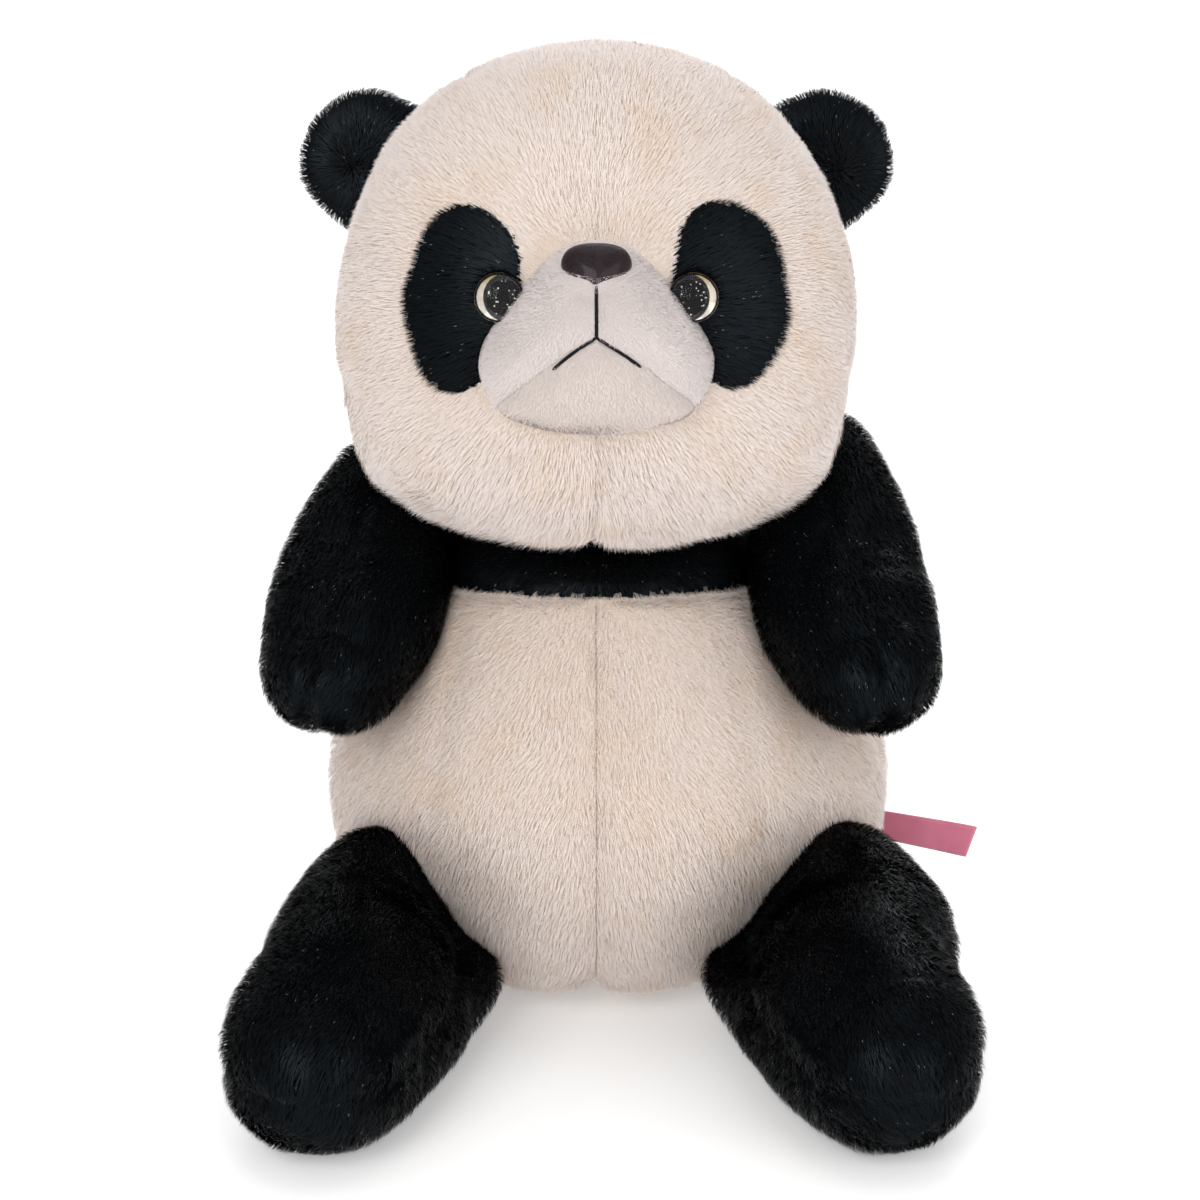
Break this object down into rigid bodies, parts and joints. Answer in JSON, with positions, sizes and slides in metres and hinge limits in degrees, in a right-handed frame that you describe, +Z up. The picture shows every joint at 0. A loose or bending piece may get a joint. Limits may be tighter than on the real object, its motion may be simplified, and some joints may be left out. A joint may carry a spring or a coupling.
{
  "type": "plush panda",
  "caption": "Sitting plush panda with a cream head and belly, black limbs, ears and eye patches, a short muzzle and plastic safety eyes.",
  "frame": {"origin": "on the floor, at the centre of the toy's bounding box seen from above", "axes": "+Z up through the head; the face looks towards -Y; +X is the right-hand side as the toy faces you"},
  "size_m": [0.2836, 0.3127, 0.381],
  "materials": {
    "cream_pile": "short plush pile, 8 mm, soft sheen",
    "black_pile": "short plush pile, 8 mm, with fine glitter",
    "muzzle_pile": "velboa, 1.5 mm pile",
    "stuffing": "loose polyester fibre",
    "washer_plastic": "moulded, matt",
    "eye_white": "pearl white printed disc",
    "eye_pupil": "black with glitter flakes",
    "eye_lens": "clear dome, polished",
    "nose_plastic": "dark plum, fine leather grain, glossy",
    "black_thread": "twisted embroidery thread",
    "cream_thread": "sewing thread",
    "ribbon_satin": "woven satin"
  },
  "bodies": {
    "torso": {"belly_panel_left": "cream_pile", "belly_panel_right": "cream_pile", "back_panel_left": "cream_pile", "back_panel_right": "cream_pile", "shoulder_yoke": "black_pile", "seat_panel": "cream_pile", "torso_stuffing": "stuffing", "closing_stitches": "cream_thread"},
    "neck": {"neck_plug": "stuffing"},
    "head": {"face_panel_left": "cream_pile", "face_panel_right": "cream_pile", "head_back_panel": "cream_pile", "head_stuffing": "stuffing", "muzzle_panel": "muzzle_pile", "chin_panel": "muzzle_pile", "muzzle_stuffing": "stuffing", "mouth_thread": "black_thread", "nose": "nose_plastic", "nose_washer": "washer_plastic", "eye_patch_left": "black_pile", "eye_patch_right": "black_pile", "eye_base_left": "eye_white", "eye_base_right": "eye_white", "eye_pupil_left": "eye_pupil", "eye_pupil_right": "eye_pupil", "eye_lens_left": "eye_lens", "eye_lens_right": "eye_lens", "eye_washer_left": "washer_plastic", "eye_washer_right": "washer_plastic"},
    "ear_left": {"ear_front_left": "black_pile", "ear_back_left": "black_pile"},
    "ear_right": {"ear_front_right": "black_pile", "ear_back_right": "black_pile"},
    "arm_left": {"arm_outer_panel_left": "black_pile", "arm_inner_panel_left": "black_pile", "arm_stuffing_left": "stuffing"},
    "arm_right": {"arm_outer_panel_right": "black_pile", "arm_inner_panel_right": "black_pile", "arm_stuffing_right": "stuffing"},
    "leg_left": {"leg_top_panel_left": "black_pile", "leg_bottom_panel_left": "black_pile", "leg_stuffing_left": "stuffing"},
    "leg_right": {"leg_top_panel_right": "black_pile", "leg_bottom_panel_right": "black_pile", "leg_stuffing_right": "stuffing"},
    "tail": {"tail_skin": "cream_pile", "tail_stuffing": "stuffing"},
    "ribbon": {"side_ribbon": "ribbon_satin"}
  },
  "joints": [
    {"name": "head_turn", "type": "hinge", "parent": "torso", "child": "neck", "pos_m": [0, 0.0244, 0.286], "axis": [0, 0, 1], "range_deg": [-25, 25], "stiffness_Nm_per_rad": 1.2},
    {"name": "head_nod", "type": "hinge", "parent": "neck", "child": "head", "pos_m": [0, 0.0244, 0.286], "axis": [1, 0, 0], "range_deg": [-15, 15], "stiffness_Nm_per_rad": 1.2},
    {"name": "arm_spread_left", "type": "hinge", "parent": "torso", "child": "arm_left", "pos_m": [-0.075, 0.0384, 0.193], "axis": [-0.5004, 0.5517, -0.6672], "range_deg": [0, 45], "stiffness_Nm_per_rad": 0.35},
    {"name": "leg_lift_left", "type": "hinge", "parent": "torso", "child": "leg_left", "pos_m": [-0.071, -0.0336, 0.04785], "axis": [-0.9345, 0.356, 0], "range_deg": [0, 25], "stiffness_Nm_per_rad": 0.6},
    {"name": "ear_fold_left", "type": "hinge", "parent": "head", "child": "ear_left", "pos_m": [-0.09077, 0.05918, 0.33171], "axis": [-0.515, -0.2791, -0.8105], "range_deg": [-25, 25], "stiffness_Nm_per_rad": 0.03},
    {"name": "arm_spread_right", "type": "hinge", "parent": "torso", "child": "arm_right", "pos_m": [0.075, 0.0384, 0.193], "axis": [-0.5004, -0.5517, 0.6672], "range_deg": [0, 45], "stiffness_Nm_per_rad": 0.35},
    {"name": "leg_lift_right", "type": "hinge", "parent": "torso", "child": "leg_right", "pos_m": [0.071, -0.0336, 0.04785], "axis": [-0.9345, -0.356, 0], "range_deg": [0, 25], "stiffness_Nm_per_rad": 0.6},
    {"name": "ear_fold_right", "type": "hinge", "parent": "head", "child": "ear_right", "pos_m": [0.09077, 0.05918, 0.33171], "axis": [-0.515, 0.2791, 0.8105], "range_deg": [-25, 25], "stiffness_Nm_per_rad": 0.03},
    {"name": "tail_wag", "type": "hinge", "parent": "torso", "child": "tail", "pos_m": [0, 0.1394, 0.058], "axis": [0, 0, 1], "range_deg": [-20, 20], "stiffness_Nm_per_rad": 0.02},
    {"name": "ribbon_flap", "type": "hinge", "parent": "torso", "child": "ribbon", "pos_m": [0.1066, 0.0464, 0.061], "axis": [0, 0, 1], "range_deg": [-15, 40], "stiffness_Nm_per_rad": 0.0008}
  ]
}
